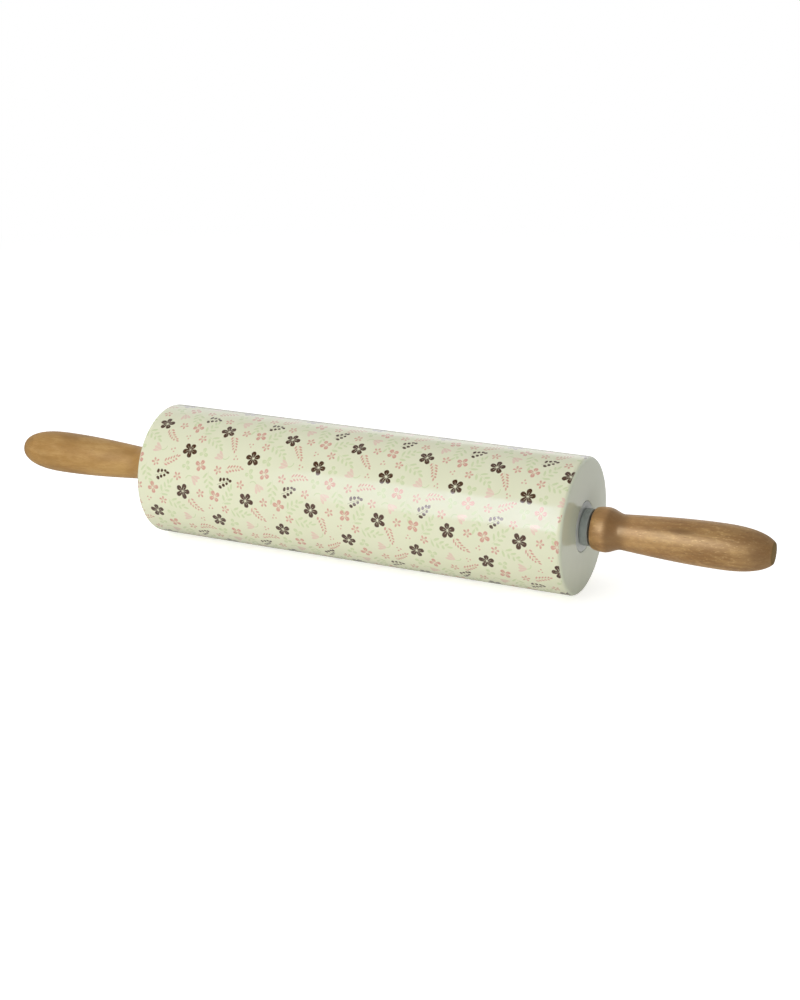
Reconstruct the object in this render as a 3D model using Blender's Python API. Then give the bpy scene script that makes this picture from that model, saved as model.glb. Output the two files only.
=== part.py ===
# Ceramic rolling pin: a hollow glazed barrel that turns on a steel axle between two wooden handles.
# Metres. The axle lies along X, +X is the right-hand end, and the barrel lies on the table at z = 0.

from math import acos, cos, pi, radians, sin

import bmesh
import bpy
from mathutils import Matrix

# Clearances
SEAT_GAP = 0.0003  # between two faces that sit on each other
RUNNING_GAP = 0.0003  # around the axle, where the bushes turn on it
END_FLOAT = 0.0003  # between a bush that turns and the collar that doesn't

# Barrel
BARREL_LENGTH = 0.240
BARREL_RADIUS = 0.035
BARREL_WALL = 0.006
BARREL_RIM = 0.0022  # radius of the rounded outer edge
END_WALL = 0.008
INNER_FILLET = 0.006
HOLE_CHAMFER = 0.0005
RECESS_DEPTH = 0.0011  # seat in the end face that takes the bush's flange
RECESS_CHAMFER = 0.0003

# Axle
AXLE_RADIUS = 0.004
AXLE_SHOULDER = 0.001  # step down to the thread
THREAD_SHORT = 0.002  # the thread stops this far before the insert's inner end
THREAD_CHAMFER = 0.0008

# Bushes, from the bore outwards
HUB_WALL = 0.0017
CORE_GAP = 0.0010  # hollow between the hub and the skirt
SKIRT_FLOOR = 0.0007  # skirt left under the seal's groove
FLANGE_LIP = 0.0030  # overlap of the flange on the ceramic, beyond the hole
FLANGE_THICKNESS = 0.0008
BUSH_CHAMFER = 0.0003
HUB_EXTRA = 0.003  # the hub is longer than the skirt by this
CORE_FLOOR = 0.0016  # material between the flange's back and the hollow
BARB_HEIGHT = 0.0007
BARB_LENGTH = 0.0027
FINGER_COUNT = 4
FINGER_SLIT = 0.0016
SLIT_MARGIN = 0.0012  # skirt left whole behind the groove

# Seal rings
SEAL_SECTION = 0.0014  # diameter of the ring's own round section
SEAL_MARGIN = 0.0018  # from the end face in to the ring's groove

# Thrust collars on the axle, between the flanges and the handles
COLLAR_WIDTH = 0.0051  # from its bore to its rim
COLLAR_THICKNESS = 0.0041
COLLAR_CHAMFER = 0.0003

# Packing washers between the collars and the handles
WASHER_WIDTH = 0.0031
WASHER_THICKNESS = 0.0006

# Threaded inserts
INSERT_WALL = 0.0015
INSERT_LENGTH = 0.022
INSERT_RINGS = 3  # raised rings that bite into the wood
INSERT_RING_HEIGHT = 0.0004

# Handles, measured from the face that looks at the barrel
HANDLE_LENGTH = 0.0893
HANDLE_FACE_RADIUS = 0.0099
BEAD_RADIUS = 0.0113
BEAD_PLACE = 0.0061
NECK_RADIUS = 0.0089
NECK_PLACE = 0.0147
GRIP_RADIUS = 0.0113
GRIP_TO_TIP = 0.026  # from the widest point of the grip to the handle's end
TIP_RADIUS = 0.0054
TIP_FULLNESS = 2.4  # 2 rounds the tip like an ellipse, more makes it blunter
PILOT_DEPTH = 0.004  # drilled on past the insert

# Facets round the axle: a flat one always faces down
BARREL_SIDES = 48
HANDLE_SIDES = 32
FITTING_SIDES = 24
SEAL_SECTION_SIDES = 6
ARC_STEPS = 4
NECK_STEPS = 5
GRIP_STEPS = 6
TIP_STEPS = 7

# Sizes that follow from the ones above
HALF_BARREL = BARREL_LENGTH / 2
CAVITY_RADIUS = BARREL_RADIUS - BARREL_WALL
BORE_RADIUS = AXLE_RADIUS + RUNNING_GAP
HUB_RADIUS = BORE_RADIUS + HUB_WALL
SKIRT_INNER = HUB_RADIUS + CORE_GAP
GROOVE_RADIUS = SKIRT_INNER + SKIRT_FLOOR
SEAL_OUTER = GROOVE_RADIUS + SEAT_GAP + SEAL_SECTION
SKIRT_RADIUS = SEAL_OUTER
HOLE_RADIUS = SKIRT_RADIUS + SEAT_GAP
FLANGE_RADIUS = HOLE_RADIUS + FLANGE_LIP
FLANGE_BACK = SEAT_GAP - RECESS_DEPTH
FLANGE_FRONT = FLANGE_BACK + FLANGE_THICKNESS
RECESS_RADIUS = FLANGE_RADIUS + SEAT_GAP
COLLAR_BACK = FLANGE_FRONT + END_FLOAT
COLLAR_FRONT = COLLAR_BACK + COLLAR_THICKNESS
COLLAR_BORE = AXLE_RADIUS + SEAT_GAP
COLLAR_RADIUS = COLLAR_BORE + COLLAR_WIDTH
WASHER_BACK = COLLAR_FRONT + SEAT_GAP
WASHER_FRONT = WASHER_BACK + WASHER_THICKNESS
WASHER_RADIUS = COLLAR_BORE + WASHER_WIDTH
HANDLE_FACE = WASHER_FRONT + SEAT_GAP
THREAD_RADIUS = AXLE_RADIUS - AXLE_SHOULDER
INSERT_BORE = THREAD_RADIUS + SEAT_GAP
INSERT_RADIUS = INSERT_BORE + INSERT_WALL
HANDLE_BORE = INSERT_RADIUS + SEAT_GAP
GROOVE_FRONT = SEAL_MARGIN
GROOVE_BACK = GROOVE_FRONT + SEAL_SECTION + 2 * SEAT_GAP
SLIT_FRONT = GROOVE_BACK + SLIT_MARGIN
BARB_FRONT = END_WALL + SEAT_GAP
SKIRT_LENGTH = BARB_FRONT + BARB_LENGTH
HUB_LENGTH = SKIRT_LENGTH + HUB_EXTRA


def clear_scene():
    for ob in list(bpy.data.objects):
        bpy.data.objects.remove(ob, do_unlink=True)


def linear(channel):
    # 8-bit display value to the linear value that a shader takes
    value = channel / 255
    return value / 12.92 if value <= 0.04045 else ((value + 0.055) / 1.055) ** 2.4


def make_material(name, colour, roughness, metallic=0.0, coat=0.0):
    mat = bpy.data.materials.new(name)
    mat.use_nodes = True
    shader = mat.node_tree.nodes["Principled BSDF"]
    shader.inputs["Base Color"].default_value = (*map(linear, colour), 1)
    shader.inputs["Roughness"].default_value = roughness
    shader.inputs["Metallic"].default_value = metallic
    shader.inputs["Coat Weight"].default_value = coat
    return mat


def make_pivot(name):
    pivot = bpy.data.objects.new(name, None)
    pivot.location.z = BARREL_RADIUS
    pivot.empty_display_size = BARREL_RADIUS
    bpy.context.collection.objects.link(pivot)
    return pivot


def add_object(name, bm, parent, mat):
    mesh = bpy.data.meshes.new(name)
    bmesh.ops.recalc_face_normals(bm, faces=bm.faces)
    bm.to_mesh(mesh)
    bm.free()
    mesh.materials.append(mat)
    mesh.shade_smooth()
    mesh.set_sharp_from_angle(angle=radians(32))
    ob = bpy.data.objects.new(name, mesh)
    ob.parent = parent
    bpy.context.collection.objects.link(ob)
    return ob


def arc(centre_x, centre_r, size_x, size_r, start, end, steps=ARC_STEPS):
    # points of an elliptical arc in the plane of a profile, angles in degrees from the +X direction
    angles = [radians(start + (end - start) * i / steps) for i in range(steps + 1)]
    return [(centre_x + size_x * cos(a), centre_r + size_r * sin(a)) for a in angles]


def turned(name, profile, sides, parent, mat, side=1):
    # Revolves (x, radius) points about the X axis; a profile that doesn't reach the axis is a ring.
    # The facets, not the corners, lie at the stated radius, and one of them faces straight down.
    bm = bmesh.new()
    half_step = pi / sides
    reach = 1 / cos(half_step)
    verts = [
        bm.verts.new((side * x, -r * reach * sin(half_step), -r * reach * cos(half_step)))
        for x, r in profile
    ]
    pairs = list(zip(verts, verts[1:]))
    if profile[0][1] > 0:
        pairs.append((verts[-1], verts[0]))
    edges = [bm.edges.new(pair) for pair in pairs]
    bmesh.ops.spin(
        bm, geom=verts + edges, cent=(0, 0, 0), axis=(1, 0, 0), angle=2 * pi, steps=sides, use_merge=True
    )
    bmesh.ops.remove_doubles(bm, verts=bm.verts, dist=1e-6)
    return add_object(name, bm, parent, mat)


def from_end_face(points):
    # distances outward from the barrel's end face become distances from the barrel's middle
    return [(HALF_BARREL + x, r) for x, r in points]


def make_barrel(parent, mat):
    rim = min(BARREL_RIM, END_WALL, BARREL_WALL)
    fillet = min(INNER_FILLET, CAVITY_RADIUS - HOLE_RADIUS)
    inner_face = HALF_BARREL - END_WALL
    end = arc(inner_face - fillet, CAVITY_RADIUS - fillet, fillet, fillet, 90, 0)
    end += [
        (inner_face, HOLE_RADIUS),
        (HALF_BARREL - RECESS_DEPTH - HOLE_CHAMFER, HOLE_RADIUS),
        (HALF_BARREL - RECESS_DEPTH, HOLE_RADIUS + HOLE_CHAMFER),
        (HALF_BARREL - RECESS_DEPTH, RECESS_RADIUS),
        (HALF_BARREL - RECESS_CHAMFER, RECESS_RADIUS),
        (HALF_BARREL, RECESS_RADIUS + RECESS_CHAMFER),
    ]
    end += arc(HALF_BARREL - rim, BARREL_RADIUS - rim, rim, rim, 0, 90)
    other_end = [(-x, r) for x, r in reversed(end)]
    turned("barrel", end + other_end, BARREL_SIDES, parent, mat)


def bush_profile():
    return [
        (FLANGE_FRONT, BORE_RADIUS),
        (FLANGE_FRONT, FLANGE_RADIUS - BUSH_CHAMFER),
        (FLANGE_FRONT - BUSH_CHAMFER, FLANGE_RADIUS),
        (FLANGE_BACK, FLANGE_RADIUS),
        (FLANGE_BACK, SKIRT_RADIUS),
        (-GROOVE_FRONT, SKIRT_RADIUS),
        (-GROOVE_FRONT, GROOVE_RADIUS),
        (-GROOVE_BACK, GROOVE_RADIUS),
        (-GROOVE_BACK, SKIRT_RADIUS),
        (-BARB_FRONT, SKIRT_RADIUS),
        (-BARB_FRONT, SKIRT_RADIUS + BARB_HEIGHT),
        (-SKIRT_LENGTH, SKIRT_RADIUS - BUSH_CHAMFER),
        (-SKIRT_LENGTH, SKIRT_INNER),
        (-CORE_FLOOR, SKIRT_INNER),
        (-CORE_FLOOR, HUB_RADIUS),
        (-HUB_LENGTH, HUB_RADIUS),
        (-HUB_LENGTH, BORE_RADIUS),
    ]


def make_slit_cutter(name, parent, side):
    # one box for each slit, laid out round the axle, clear of the hub
    front = HALF_BARREL - SLIT_FRONT
    back = HALF_BARREL - SKIRT_LENGTH - BARB_LENGTH
    inner = SKIRT_INNER - CORE_GAP / 2
    outer = SKIRT_RADIUS + 2 * BARB_HEIGHT
    bm = bmesh.new()
    for i in range(FINGER_COUNT):
        box = bmesh.ops.create_cube(bm, size=1)["verts"]
        bmesh.ops.scale(bm, verts=box, vec=(front - back, FINGER_SLIT, outer - inner))
        bmesh.ops.translate(bm, verts=box, vec=(side * (front + back) / 2, 0, (outer + inner) / 2))
        turn = Matrix.Rotation(2 * pi * (i + 0.5) / FINGER_COUNT, 3, "X")
        bmesh.ops.rotate(bm, verts=box, cent=(0, 0, 0), matrix=turn)
    cutter = add_object(name, bm, parent, bpy.data.materials["bush_plastic"])
    cutter.hide_render = True
    cutter.display_type = "WIRE"
    return cutter


def make_bush(label, side, parent, mat):
    bush = turned(label + "_bush", from_end_face(bush_profile()), FITTING_SIDES, parent, mat, side)
    slits = bush.modifiers.new("slits", "BOOLEAN")
    slits.operation = "DIFFERENCE"
    slits.solver = "EXACT"
    slits.object = make_slit_cutter(label + "_slit_cutter", parent, side)


def make_seal_ring(label, side, parent, mat):
    radius = SEAL_SECTION / 2
    depth = (GROOVE_FRONT + GROOVE_BACK) / 2
    section = arc(-depth, SEAL_OUTER - radius, radius, radius, 90, 450, SEAL_SECTION_SIDES)[:-1]
    turned(label + "_seal_ring", from_end_face(section), FITTING_SIDES, parent, mat, side)


def make_axle(parent, mat):
    shoulder = HALF_BARREL + HANDLE_FACE - SEAT_GAP
    tip = HALF_BARREL + HANDLE_FACE + INSERT_LENGTH - THREAD_SHORT
    end = [
        (shoulder, AXLE_RADIUS),
        (shoulder, THREAD_RADIUS),
        (tip - THREAD_CHAMFER, THREAD_RADIUS),
        (tip, THREAD_RADIUS - THREAD_CHAMFER),
        (tip, 0),
    ]
    other_end = [(-x, r) for x, r in reversed(end)]
    turned("axle", other_end + end, FITTING_SIDES, parent, mat)


def make_collar(label, side, parent, mat):
    section = [
        (COLLAR_FRONT, COLLAR_BORE),
        (COLLAR_FRONT, COLLAR_RADIUS - COLLAR_CHAMFER),
        (COLLAR_FRONT - COLLAR_CHAMFER, COLLAR_RADIUS),
        (COLLAR_BACK + COLLAR_CHAMFER, COLLAR_RADIUS),
        (COLLAR_BACK, COLLAR_RADIUS - COLLAR_CHAMFER),
        (COLLAR_BACK, COLLAR_BORE),
    ]
    turned(label + "_collar", from_end_face(section), FITTING_SIDES, parent, mat, side)


def make_washer(label, side, parent, mat):
    section = [
        (WASHER_FRONT, COLLAR_BORE),
        (WASHER_FRONT, WASHER_RADIUS),
        (WASHER_BACK, WASHER_RADIUS),
        (WASHER_BACK, COLLAR_BORE),
    ]
    turned(label + "_washer", from_end_face(section), FITTING_SIDES, parent, mat, side)


def make_insert(label, side, parent, mat):
    # the outside steps in and out, as raised rings with plain bands between them
    band = INSERT_LENGTH / (2 * INSERT_RINGS - 1)
    outside = []
    for i in range(2 * INSERT_RINGS - 1):
        radius = INSERT_RADIUS - (i % 2) * INSERT_RING_HEIGHT
        outside += [(HANDLE_FACE + i * band, radius), (HANDLE_FACE + (i + 1) * band, radius)]
    section = [(HANDLE_FACE, INSERT_BORE)] + outside + [(HANDLE_FACE + INSERT_LENGTH, INSERT_BORE)]
    turned(label + "_insert", from_end_face(section), FITTING_SIDES, parent, mat, side)


def blend(start, end, shape, steps):
    # points from one (x, radius) to the next, the radius following shape(t) as x runs evenly
    parts = [i / steps for i in range(1, steps + 1)]
    return [(start[0] + (end[0] - start[0]) * t, start[1] + (end[1] - start[1]) * shape(t)) for t in parts]


def tip_curve(start):
    # the points after the grip's widest one, down to the rim of the end flat
    power = 2 / TIP_FULLNESS
    last = acos((TIP_RADIUS / GRIP_RADIUS) ** (1 / power))
    angles = [last * i / TIP_STEPS for i in range(1, TIP_STEPS + 1)]
    return [
        (start + GRIP_TO_TIP * (sin(a) / sin(last)) ** power, GRIP_RADIUS * cos(a) ** power)
        for a in angles
    ]


def handle_outline():
    # a rounded bead, a hollow neck, a grip that swells slowly, and a blunt tip with a crisp end flat
    bead = (BEAD_PLACE, BEAD_RADIUS)
    neck = (NECK_PLACE, NECK_RADIUS)
    grip = (HANDLE_LENGTH - GRIP_TO_TIP, GRIP_RADIUS)
    points = arc(BEAD_PLACE, HANDLE_FACE_RADIUS, BEAD_PLACE, BEAD_RADIUS - HANDLE_FACE_RADIUS, 180, 90)
    points += blend(bead, neck, lambda t: (1 - cos(pi * t)) / 2, NECK_STEPS)
    points += blend(neck, grip, lambda t: sin(pi * t / 2), GRIP_STEPS)
    points += tip_curve(grip[0])
    return points


def make_handle(label, side, parent, mat):
    insert_end = INSERT_LENGTH + SEAT_GAP
    bore_end = insert_end + PILOT_DEPTH
    bore = [
        (bore_end, 0),
        (bore_end, INSERT_BORE),
        (insert_end, INSERT_BORE),
        (insert_end, HANDLE_BORE),
        (0, HANDLE_BORE),
    ]
    profile = bore + handle_outline() + [(HANDLE_LENGTH, 0)]
    placed = [(HANDLE_FACE + x, r) for x, r in profile]
    turned(label + "_handle", from_end_face(placed), HANDLE_SIDES, parent, mat, side)


def build():
    clear_scene()
    glaze = make_material("glazed_ceramic", (226, 229, 205), 0.12, coat=0.5)
    plastic = make_material("bush_plastic", (146, 149, 146), 0.4)
    soft = make_material("seal_rubber", (60, 60, 58), 0.7)
    steel = make_material("axle_steel", (170, 170, 172), 0.3, metallic=1.0)
    zinc = make_material("collar_steel", (118, 121, 122), 0.4, metallic=1.0)
    fibre = make_material("washer_fibre", (48, 42, 36), 0.8)
    brass = make_material("insert_brass", (190, 160, 90), 0.35, metallic=1.0)
    wood = make_material("handle_wood", (181, 143, 92), 0.45)

    held = make_pivot("held_parts")
    rolling = make_pivot("rolling_parts")
    rolling.parent = held
    rolling.location.z = 0

    make_barrel(rolling, glaze)
    make_axle(held, steel)
    for label, side in (("left", -1), ("right", 1)):
        make_bush(label, side, rolling, plastic)
        make_seal_ring(label, side, rolling, soft)
        make_collar(label, side, held, zinc)
        make_washer(label, side, held, fibre)
        make_insert(label, side, held, brass)
        make_handle(label, side, held, wood)


build()
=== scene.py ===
# Ceramic rolling pin: the looks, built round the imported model.
# Metres throughout; the patterns of the finishes count in millimetres.

from math import acos, cos, pi, radians, sin

import bmesh
import bpy
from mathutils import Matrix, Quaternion, Vector


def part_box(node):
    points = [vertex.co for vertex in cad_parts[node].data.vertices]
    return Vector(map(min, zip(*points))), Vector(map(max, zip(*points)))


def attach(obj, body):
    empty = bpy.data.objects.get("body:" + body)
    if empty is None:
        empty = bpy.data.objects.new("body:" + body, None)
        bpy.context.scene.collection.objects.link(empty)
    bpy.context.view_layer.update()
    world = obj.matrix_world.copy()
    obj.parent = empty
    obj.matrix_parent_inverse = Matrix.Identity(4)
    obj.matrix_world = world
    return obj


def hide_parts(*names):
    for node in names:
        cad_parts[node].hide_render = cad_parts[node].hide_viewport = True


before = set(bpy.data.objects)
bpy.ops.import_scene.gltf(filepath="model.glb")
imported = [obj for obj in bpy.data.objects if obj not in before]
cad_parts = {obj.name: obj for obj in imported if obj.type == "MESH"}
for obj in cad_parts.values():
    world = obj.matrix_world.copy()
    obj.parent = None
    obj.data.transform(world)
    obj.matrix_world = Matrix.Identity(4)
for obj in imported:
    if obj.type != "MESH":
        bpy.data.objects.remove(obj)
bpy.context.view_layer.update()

barrelLow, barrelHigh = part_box("barrel")
axisHeight = (barrelLow.z + barrelHigh.z) / 2
barrelRadius = (barrelHigh.z - barrelLow.z) / 2
halfBarrel = barrelHigh.x
toMillimetres = 1000


# Node trees

class Wire:
    # One output in a node tree. Arithmetic on it adds Math nodes, so a formula reads as a formula.
    def __init__(self, tree, socket):
        self.tree = tree
        self.socket = socket

    def math(self, operation, *others):
        node = self.tree.nodes.new("ShaderNodeMath")
        node.operation = operation
        for slot, value in zip(node.inputs, (self, *others)):
            feed(self.tree, slot, value)
        return Wire(self.tree, node.outputs[0])

    def __add__(self, other):
        return self.math("ADD", other)

    def __sub__(self, other):
        return self.math("SUBTRACT", other)

    def __rsub__(self, other):
        return (self * -1).math("ADD", other)

    def __mul__(self, other):
        return self.math("MULTIPLY", other)

    def __truediv__(self, other):
        return self.math("DIVIDE", other)

    def squared(self):
        return self * self

    def ramp(self, start, end, low=0.0, high=1.0):
        # an S-shaped step from low to high while the value runs from start to end
        ends = {"Value": self, "From Min": start, "From Max": end, "To Min": low, "To Max": high}
        return wireOf(self.tree, "ShaderNodeMapRange", ends, interpolation_type="SMOOTHSTEP")


def feed(tree, socket, value):
    if isinstance(value, Wire):
        tree.links.new(value.socket, socket)
    else:
        socket.default_value = value


def addNode(tree, kind, inputs=None, **settings):
    node = tree.nodes.new(kind)
    for name, value in settings.items():
        setattr(node, name, value)
    for name, value in (inputs or {}).items():
        feed(tree, node.inputs[name], value)
    return node


def wireOf(tree, kind, inputs=None, output=0, **settings):
    return Wire(tree, addNode(tree, kind, inputs, **settings).outputs[output])


def split(wire):
    node = addNode(wire.tree, "ShaderNodeSeparateXYZ", {0: wire})
    return [Wire(wire.tree, socket) for socket in node.outputs]


def join(tree, x, y, z):
    return wireOf(tree, "ShaderNodeCombineXYZ", {0: x, 1: y, 2: z})


def largest(wires):
    most = wires[0]
    for wire in wires[1:]:
        most = most.math("MAXIMUM", wire)
    return most


def openGroup(name, kind, inputs, outputs):
    tree = bpy.data.node_groups.new(name, kind)
    for label, start in inputs.items():
        if isinstance(start, str):
            tree.interface.new_socket(label, in_out="INPUT", socket_type=start)
        else:
            kindOfNumber = "NodeSocketInt" if isinstance(start, int) else "NodeSocketFloat"
            socket = tree.interface.new_socket(label, in_out="INPUT", socket_type=kindOfNumber)
            socket.default_value = start
    for label, kindOfSocket in outputs.items():
        tree.interface.new_socket(label, in_out="OUTPUT", socket_type=kindOfSocket)
    source = tree.nodes.new("NodeGroupInput")
    given = {label: Wire(tree, source.outputs[label]) for label in inputs}
    return tree, given


def closeGroup(tree, results):
    sink = tree.nodes.new("NodeGroupOutput")
    for label, value in results.items():
        feed(tree, sink.inputs[label], value)


def useGroup(tree, group, inputs):
    node = addNode(tree, "ShaderNodeGroup", inputs, node_tree=group)
    return [Wire(tree, socket) for socket in node.outputs]


# Finishes

def paint(red, green, blue):
    # a display colour, 0 to 255, as the linear colour that a shader takes
    shares = [channel / 255 for channel in (red, green, blue)]
    return (*[s / 12.92 if s <= 0.04045 else ((s + 0.055) / 1.055) ** 2.4 for s in shares], 1)


def dress(tree, shader, **sockets):
    for label, value in sockets.items():
        feed(tree, shader.inputs[label.replace("_", " ")], value)


def newFinish(name, **sockets):
    mat = bpy.data.materials.new(name)
    mat.use_nodes = True
    tree = mat.node_tree
    shader = tree.nodes["Principled BSDF"]
    dress(tree, shader, **sockets)
    return mat, tree, shader


def millimetres(tree):
    # a point of the piece in millimetres, measured from the middle of the axle
    coordinates = wireOf(tree, "ShaderNodeTexCoord", output="Object")
    scaled = (toMillimetres, toMillimetres, toMillimetres)
    return wireOf(tree, "ShaderNodeMapping", {"Vector": coordinates, "Scale": scaled,
                                              "Location": (0, 0, -axisHeight * toMillimetres)})


def stretched(point, scale, location=(0, 0, 0), rotation=(0, 0, 0)):
    inputs = {"Vector": point, "Scale": scale, "Location": location, "Rotation": rotation}
    return wireOf(point.tree, "ShaderNodeMapping", inputs)


def noise(point, scale, detail=2.0, roughness=0.5):
    inputs = {"Vector": point, "Scale": scale, "Detail": detail, "Roughness": roughness}
    return wireOf(point.tree, "ShaderNodeTexNoise", inputs)


def mixColour(tree, share, first, second):
    node = addNode(tree, "ShaderNodeMix", data_type="RGBA")
    for slot, value in ((0, share), (6, first), (7, second)):
        feed(tree, node.inputs[slot], value)
    return Wire(tree, node.outputs[2])


def bump(tree, height, distance, strength):
    inputs = {"Height": height, "Distance": distance, "Strength": strength}
    return wireOf(tree, "ShaderNodeBump", inputs)


def hypotenuse(a, b):
    return (a.squared() + b.squared()).math("SQRT")


# The flower print: small motifs, each in its own half-drop grid round the barrel

printLook = {
    "columns": 6,  # repeats round the barrel
    "repeatLength": 38.0,  # millimetres along the axle
    "edge": 0.13,  # softness of the ink's edge
    "wobble": 0.5,  # how far the brush strays
    "wobbleScale": 0.55,
    "mottle": (0.25, 0.6, 0.9, 1.0),  # the ink is a little thinner where the noise is low
    "mottleScale": 1.4,
    "rim": (0.6, 0.3),  # the ink ends where the rim has rounded in this far
    "inks": {
        "green": paint(211, 221, 176),
        "blush": paint(234, 208, 190),
        "pink": paint(217, 166, 148),
        "brown": paint(80, 46, 20),
    },
    "gloss": {"green": 0.3, "blush": 0.5, "pink": 0.6, "brown": 1.0},  # shine over the glaze's own
}

# the shape that draws each motif, and its sizes in millimetres
motifs = {
    "blossom": ("ring", {"Petals": 5.0, "Reach": 2.3, "Length": 1.8, "Width": 1.26, "Vein": 0.0}),
    "clover": ("ring", {"Petals": 4.0, "Reach": 1.85, "Length": 1.4, "Width": 1.05, "Vein": 0.05}),
    "star": ("ring", {"Petals": 5.0, "Reach": 1.4, "Length": 0.95, "Width": 0.52, "Vein": 0.0}),
    "dots": ("ring", {"Petals": 3.0, "Reach": 1.05, "Length": 0.45, "Width": 0.45, "Vein": 0.0}),
    "trefoil": ("ring", {"Petals": 3.0, "Reach": 1.5, "Length": 1.3, "Width": 1.0, "Vein": 0.05}),
    "berries": ("sprig", {"Step": 2.1, "Pairs": 1.0, "Reach": 1.45, "Length": 0.92, "Width": 0.8,
                          "Tilt": 0.6, "Stem": 0.06}),
    "buds": ("sprig", {"Step": 1.7, "Pairs": 2.0, "Reach": 1.05, "Length": 0.85, "Width": 0.46,
                       "Tilt": 0.9, "Stem": 0.03}),
    "leaves": ("sprig", {"Step": 2.9, "Pairs": 1.0, "Reach": 1.5, "Length": 1.5, "Width": 0.62,
                         "Tilt": 0.75, "Stem": 0.08}),
    "bell": ("bell", {}),
}

# ink, motif, shift across and along in millimetres, turn and swing; a motif's row is also its seed
printLayout = [
    ("green", "leaves", 10.4, 18.6, 0.5, 0.6),
    ("green", "leaves", 19.0, 12.6, -0.8, 0.6),
    ("green", "leaves", 25.2, 0.4, 1.5, 0.6),
    ("green", "trefoil", 3.6, 13.8, 0.3, 2.0),
    ("green", "trefoil", 32.4, 24.2, 0.9, 2.0),
    ("blush", "bell", 3.2, 23.4, 0.4, 0.8),
    ("blush", "bell", 25.6, 30.4, -2.4, 0.8),
    ("pink", "buds", 11.2, 29.6, 1.1, 0.7),
    ("pink", "buds", 34.2, 14.4, -0.4, 0.7),
    ("pink", "clover", 18.2, 4.4, 0.2, 1.5),
    ("pink", "clover", 33.4, 32.6, 0.6, 1.5),
    ("pink", "star", 11.6, 10.2, 0.0, 1.2),
    ("pink", "star", 32.2, 5.2, 0.5, 1.2),
    ("pink", "star", 18.6, 33.6, 0.2, 1.2),
    ("pink", "star", 26.2, 19.4, 0.7, 1.2),
    ("pink", "dots", 11.6, 1.4, 0.0, 2.0),
    ("pink", "dots", 3.2, 33.2, 0.0, 2.0),
    ("brown", "blossom", 4.2, 5.2, 0.1, 1.2),
    ("brown", "blossom", 18.4, 23.0, 0.4, 1.2),
    ("brown", "berries", 26.4, 9.6, -0.5, 0.8),
]


def placeMotifGroup():
    # a point of the barrel's side, seen from the middle of the nearest copy of a motif
    tree, given = openGroup(
        "placeMotif", "ShaderNodeTree",
        {"Across": 0.0, "Along": 0.0, "Shift Across": 0.0, "Shift Along": 0.0, "Turn": 0.0,
         "Swing": 0.0, "Seed": 0.0},
        {"X": "NodeSocketFloat", "Y": "NodeSocketFloat", "Chance": "NodeSocketFloat"})
    width = 2 * pi * barrelRadius * toMillimetres / printLook["columns"]
    length = printLook["repeatLength"]
    across = given["Across"] - given["Shift Across"]
    column = (across / width).math("ROUND")
    along = given["Along"] - given["Shift Along"] - column.math("FLOORED_MODULO", 2) * (length / 2)
    row = (along / length).math("ROUND")
    place = join(tree, column.math("FLOORED_MODULO", printLook["columns"]), row, given["Seed"])
    chance = wireOf(tree, "ShaderNodeTexWhiteNoise", {"Vector": place})
    angle = given["Turn"] + (chance - 0.5) * given["Swing"]
    a = across - column * width
    b = along - row * length
    cosine = angle.math("COSINE")
    sine = angle.math("SINE")
    closeGroup(tree, {"X": a * cosine + b * sine, "Y": b * cosine - a * sine, "Chance": chance})
    return tree


def ovalInk(x, y, length, width):
    # 1 inside an oval of those half lengths, with a soft edge of the same breadth all round
    out = hypotenuse(x / length, y / width) - 1
    return (out * width).ramp(printLook["edge"], -printLook["edge"])


petalShape = {
    "shortest": 0.85, "spread": 0.3,  # a petal's length as a share of the motif's
    "foot": 0.6, "swell": 0.4,  # narrower at the foot than at the reach
    "veinEdge": 0.12,
    "veinEnd": (0.9, 1.15),  # the vein fades out over these shares of the reach
    "seed": 3.0,
}


def petalRingGroup():
    # ovals set round a point: blossoms, clover leaves, or a cluster of dots
    s = petalShape
    tree, given = openGroup(
        "petalRing", "ShaderNodeTree",
        {"X": 0.0, "Y": 0.0, "Chance": 0.0, "Petals": 5.0, "Reach": 2.4, "Length": 1.6, "Width": 1.2,
         "Vein": 0.0},
        {"Ink": "NodeSocketFloat"})
    radius = hypotenuse(given["X"], given["Y"])
    turn = given["Y"].math("ARCTAN2", given["X"]) / (2 * pi) * given["Petals"]
    petal = turn.math("ROUND")
    aside = (turn - petal) / given["Petals"] * (2 * pi)
    number = petal.math("FLOORED_MODULO", given["Petals"])
    place = join(tree, number, given["Chance"], s["seed"])
    chance = wireOf(tree, "ShaderNodeTexWhiteNoise", {"Vector": place})
    length = given["Length"] * chance.math("MULTIPLY_ADD", s["spread"], s["shortest"])
    out = radius * aside.math("COSINE")
    side = (radius * aside.math("SINE")).math("ABSOLUTE")
    plump = given["Width"] * (out / given["Reach"]).math("MULTIPLY_ADD", s["swell"], s["foot"])
    vein = side.ramp(given["Vein"], given["Vein"] + s["veinEdge"])
    veinStop, veinGone = [given["Reach"] * share for share in s["veinEnd"]]
    veined = vein.math("MAXIMUM", out.ramp(veinStop, veinGone))
    closeGroup(tree, {"Ink": ovalInk(out - given["Reach"], side, length, plump) * veined})
    return tree


sprigShape = {
    "bend": 0.09,  # how much chance bends the stem
    "stagger": 0.25,  # the two sides differ by twice this share of a step
    "taper": 0.22,  # smaller towards the tip
    "tip": 0.8,  # the last leaf's place past the last step, as a share of its length
    "foot": 0.9,  # the stem's end below the first pair, as a share of a step
    "stemEdge": 0.1, "tipEdge": 0.4, "footEdge": 0.3,
}


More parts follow.
